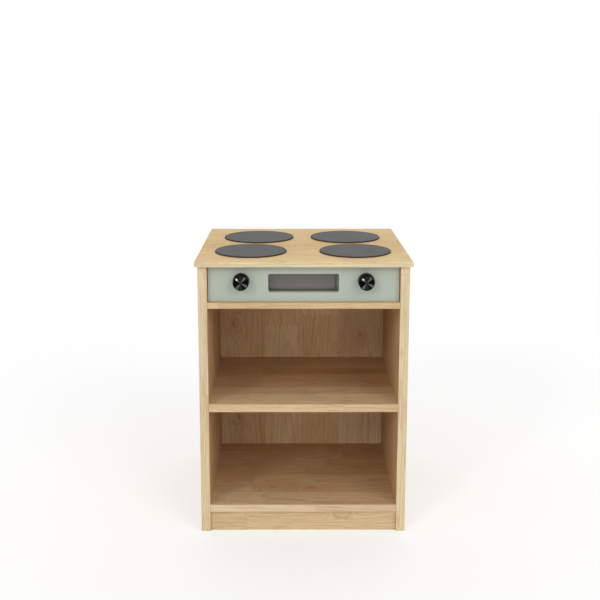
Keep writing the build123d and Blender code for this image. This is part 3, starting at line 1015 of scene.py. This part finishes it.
class COOKER_OT_knobs(bpy.types.Operator):
    """Turn the two knobs: a dished spun face, a round shoulder, a slight taper and a recess in the foot"""

    bl_idname = "cooker.knobs"
    bl_label = "Knobs"

    def execute(self, context):
        settings = context.scene.cooker.knob
        profiles = {side: self.profile(settings, side) for side in SIDES}
        materials = (knob_face(settings, along_profile(profiles["left"])[-1]), knob_body(settings))
        for side, profile in profiles.items():
            low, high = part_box(f"knob_{side}")
            centre = np.array(((low.x + high.x) / 2, high.y, (low.z + high.z) / 2))
            name = f"knob_{side}_turned"
            knob = turned(name, profile, centre, FORWARD, settings.steps, materials, settings.face_radius)
            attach(knob, f"{side}_knob")
            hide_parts(f"knob_{side}")
        return {"FINISHED"}

    def profile(self, settings, side):
        """From the face's middle, out over the shoulder, down the side, and back up the recess and the bore.

        The hollow in the face is an arc whose radius is (dish radius squared + depth squared) / (2 * depth).
        """
        low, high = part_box(f"knob_{side}")
        spindle_low, spindle_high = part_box(f"spindle_{side}")
        foot = (high.x - low.x) / 2
        length = high.y - low.y
        flat = settings.crown - settings.shoulder
        bore = (spindle_high.x - spindle_low.x) / 2
        bore_end = high.y - spindle_low.y
        recess_floor = bore_end - settings.grip
        dish = settings.dish_radius
        sphere = (dish**2 + settings.dish**2) / (2 * settings.dish)
        spread = math.degrees(math.asin(dish / sphere))
        return np.vstack((
            arc((0.0, length - settings.dish + sphere), sphere, -90, spread - 90, steps=24),
            [(flat, length)],
            arc((flat, length - settings.shoulder), settings.shoulder, 90, 0, steps=14),
            [(foot, settings.arris), (foot - settings.arris, 0.0)],
            [(settings.recess, 0.0), (settings.recess, recess_floor)],
            [(bore, recess_floor), (bore, bore_end), (0.0, bore_end)],
        ))


class COOKER_OT_spindles(bpy.types.Operator):
    """Finish the steel spindles, washers and nuts, and the nylon bushes they run in"""

    bl_idname = "cooker.spindles"
    bl_label = "Spindles and bushes"

    def execute(self, context):
        settings = context.scene.cooker.fastener
        turning = [f"{piece}_{side}" for piece in ("spindle", "rear_washer", "lock_nut") for side in SIDES]
        dress(zinc(settings), *turning, "panel_block_screws", "display_screws")
        dress(nylon(settings), "spindle_bushes")
        return {"FINISHED"}


class COOKER_OT_back_screws(bpy.types.Operator):
    """Make the screws in the back panel: a flat head with a cross recess, a tapered neck and a shank"""

    bl_idname = "cooker.back_screws"
    bl_label = "Back screws"

    def execute(self, context):
        settings = context.scene.cooker.fastener
        arm, reach = settings.arm / 2, settings.reach * settings.head

        def cross(radii, angles):
            """Depth of the cross: full near the middle of an arm, with walls that slope to nothing."""
            beside = np.abs(radii * np.cos(angles))
            ahead = np.abs(radii * np.sin(angles))
            narrow, wide = np.minimum(beside, ahead), np.maximum(beside, ahead)
            walls = np.clip((arm * 1.25 - narrow) / (arm * 0.5), 0, 1)
            ends = np.clip((reach - wide) / (reach * 0.35), 0, 1)
            return settings.recess * (walls * ends)

        low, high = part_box("back_panel_screws")
        length, head = high.y - low.y, settings.head
        rings = np.linspace(0.0, head * settings.flat, settings.rings)
        profile = np.vstack((
            np.stack((rings, np.zeros_like(rings)), axis=1),
            [(head, -settings.edge), (settings.shank, settings.shank - head)],
            [(settings.shank, settings.tip - length), (0.0, -length)],
        ))
        plating = (zinc(settings),)
        screws = [
            turned("screw", profile, np.array((x, high.y, z)), BACKWARD, settings.steps, plating, sink=cross)
            for x in (low.x + head, high.x - head)
            for z in (low.z + head, high.z - head)
        ]
        screws = joined("back_panel_screw_set", screws)
        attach(screws, CABINET)
        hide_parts("back_panel_screws")
        return {"FINISHED"}


class COOKER_OT_stage(bpy.types.Operator):
    """Set up the floor, the even sky, the lamps and the camera"""

    bl_idname = "cooker.stage"
    bl_label = "Stage"

    # each lamp: its name, the way it shines from, strength and width in degrees
    LAMPS = (
        ("lamp_left", (-0.50, -0.68, 0.44), 0.46, 14.0),
        ("lamp_right", (0.52, -0.66, 0.50), 0.51, 30.0),
        ("lamp_behind", (0.20, 0.80, 0.57), 0.15, 50.0),
    )

    def execute(self, context):
        settings = context.scene.cooker.stage
        self.make_floor(settings)
        self.make_sky(context.scene, settings)
        for lamp in self.LAMPS:
            self.make_lamp(*lamp)
        self.make_camera(context.scene, settings)
        context.scene.view_settings.view_transform = "Standard"
        return {"FINISHED"}

    def make_floor(self, settings):
        """A flat pale floor, which keeps the cooker's shadow."""
        half = settings.floor / 2
        corners = [(-half, -half, 0.0), (half, -half, 0.0), (half, half, 0.0), (-half, half, 0.0)]
        mesh = bpy.data.meshes.new("floor")
        mesh.from_pydata(corners, [], [(0, 1, 2, 3)])
        recipe = Recipe("floor_paper")
        seen = recipe.seen()
        paper = recipe.shade(
            base_color=recipe.mix(seen, (settings.bounce,) * 3, (settings.paper,) * 3),
            roughness=1.0,
            specular_ior_level=0.0,
            emission_color=(1.0, 1.0, 1.0),
            emission_strength=seen * settings.glow,
        )
        mesh.materials.append(paper)
        placed("floor", mesh)

    def make_sky(self, scene, settings):
        """Even light from all round, which shows as white behind the cooker and in its gloss."""
        recipe = Recipe("studio", bpy.data.worlds, "Background")
        strength = recipe.seen() * (1.0 - settings.sky) + settings.sky
        scene.world = recipe.shade(color=(1.0, 1.0, 1.0), strength=strength)

    def make_lamp(self, name, shines_from, strength, width):
        """A broad soft lamp, far away."""
        lamp = bpy.data.lights.new(name, "SUN")
        lamp.energy = strength
        lamp.angle = math.radians(width)
        placed(name, lamp).rotation_euler = Vector(shines_from).to_track_quat("Z", "Y").to_euler()

    def make_camera(self, scene, settings):
        """A level-headed camera: turned about the vertical, then tipped down."""
        lens = bpy.data.cameras.new("camera")
        lens.lens = settings.lens
        lens.shift_x, lens.shift_y = settings.shift
        camera = placed("camera", lens)
        camera.location = settings.place
        camera.rotation_euler = (math.pi / 2 - settings.pitch, 0.0, -settings.turn)
        scene.camera = camera


class COOKER_PT_sidebar(bpy.types.Panel):
    """Lists the cooker's pieces in the sidebar"""

    bl_label = "Toy Cooker"
    bl_idname = "COOKER_PT_sidebar"
    bl_space_type = "VIEW_3D"
    bl_region_type = "UI"
    bl_category = "Toy Cooker"

    def draw(self, context):
        for operator in OPERATORS:
            self.layout.operator(operator.bl_idname)
        for group in CookerSettings.__annotations__:
            settings = getattr(context.scene.cooker, group)
            box = self.layout.box()
            box.label(text=group.capitalize())
            for name in settings.__annotations__:
                box.prop(settings, name)


OPERATORS = (
    COOKER_OT_boards,
    COOKER_OT_dowels,
    COOKER_OT_panel,
    COOKER_OT_hotplates,
    COOKER_OT_knobs,
    COOKER_OT_spindles,
    COOKER_OT_back_screws,
    COOKER_OT_stage,
)
CLASSES = (
    PineSettings,
    BeechSettings,
    PaintSettings,
    HotplateSettings,
    KnobSettings,
    FastenerSettings,
    StageSettings,
    CookerSettings,
    *OPERATORS,
    COOKER_PT_sidebar,
)


def register():
    for cls in CLASSES:
        bpy.utils.register_class(cls)
    bpy.types.Scene.cooker = PointerProperty(type=CookerSettings)


def unregister():
    del bpy.types.Scene.cooker
    for cls in reversed(CLASSES):
        bpy.utils.unregister_class(cls)


def main():
    """Finish the whole cooker."""
    register()
    bpy.ops.cooker.boards()
    bpy.ops.cooker.dowels()
    bpy.ops.cooker.panel()
    bpy.ops.cooker.hotplates()
    bpy.ops.cooker.knobs()
    bpy.ops.cooker.spindles()
    bpy.ops.cooker.back_screws()
    bpy.ops.cooker.stage()


if __name__ == "__main__":
    main()
